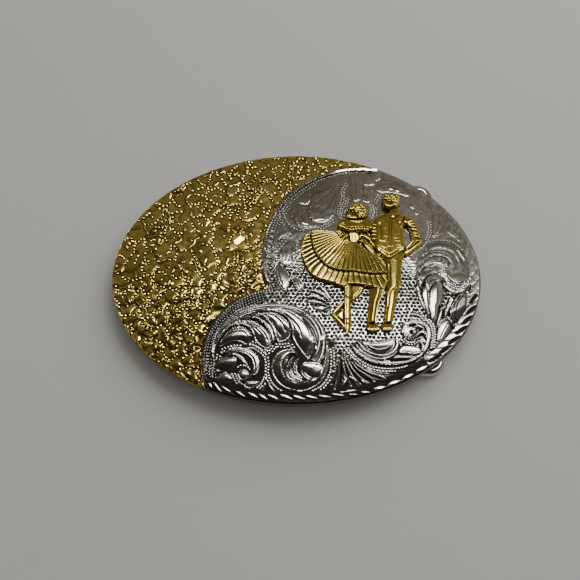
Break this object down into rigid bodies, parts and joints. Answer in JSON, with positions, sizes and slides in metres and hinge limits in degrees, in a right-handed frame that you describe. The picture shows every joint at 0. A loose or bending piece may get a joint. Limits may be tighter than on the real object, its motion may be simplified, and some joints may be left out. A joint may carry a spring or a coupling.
{
  "type": "western belt buckle",
  "caption": "Dished oval western trophy belt buckle with a gold nugget field, a silver leaf scroll field, a cast dancing couple, a belt post and a swivel bail.",
  "frame": {"origin": "on the surface that the buckle lies on, under the centre of the oval face", "axes": "+Z out of the face, +X towards the bail's end (the end right of the viewer), +Y towards the upper edge of the face"},
  "size_m": [0.089, 0.066, 0.0102],
  "materials": {
    "base_metal": "satin nickel silver",
    "silver": "bright cut silver plate, blackened in the ground",
    "gold": "polished gold plate, darkened in the recesses",
    "wire": "polished nickel silver wire"
  },
  "bodies": {
    "buckle": {"base_plate": "base_metal", "nugget_overlay": "gold", "scroll_overlay": "silver", "dancers": "gold", "belt_post": "base_metal", "bail_bracket": "base_metal"},
    "bail": {"bail": "wire"}
  },
  "joints": [
    {"name": "bail_hinge", "type": "hinge", "parent": "buckle", "child": "bail", "pos_m": [0.0155, 0, 0.0023], "axis": [0, 1, 0], "range_deg": [-2, 180]}
  ]
}
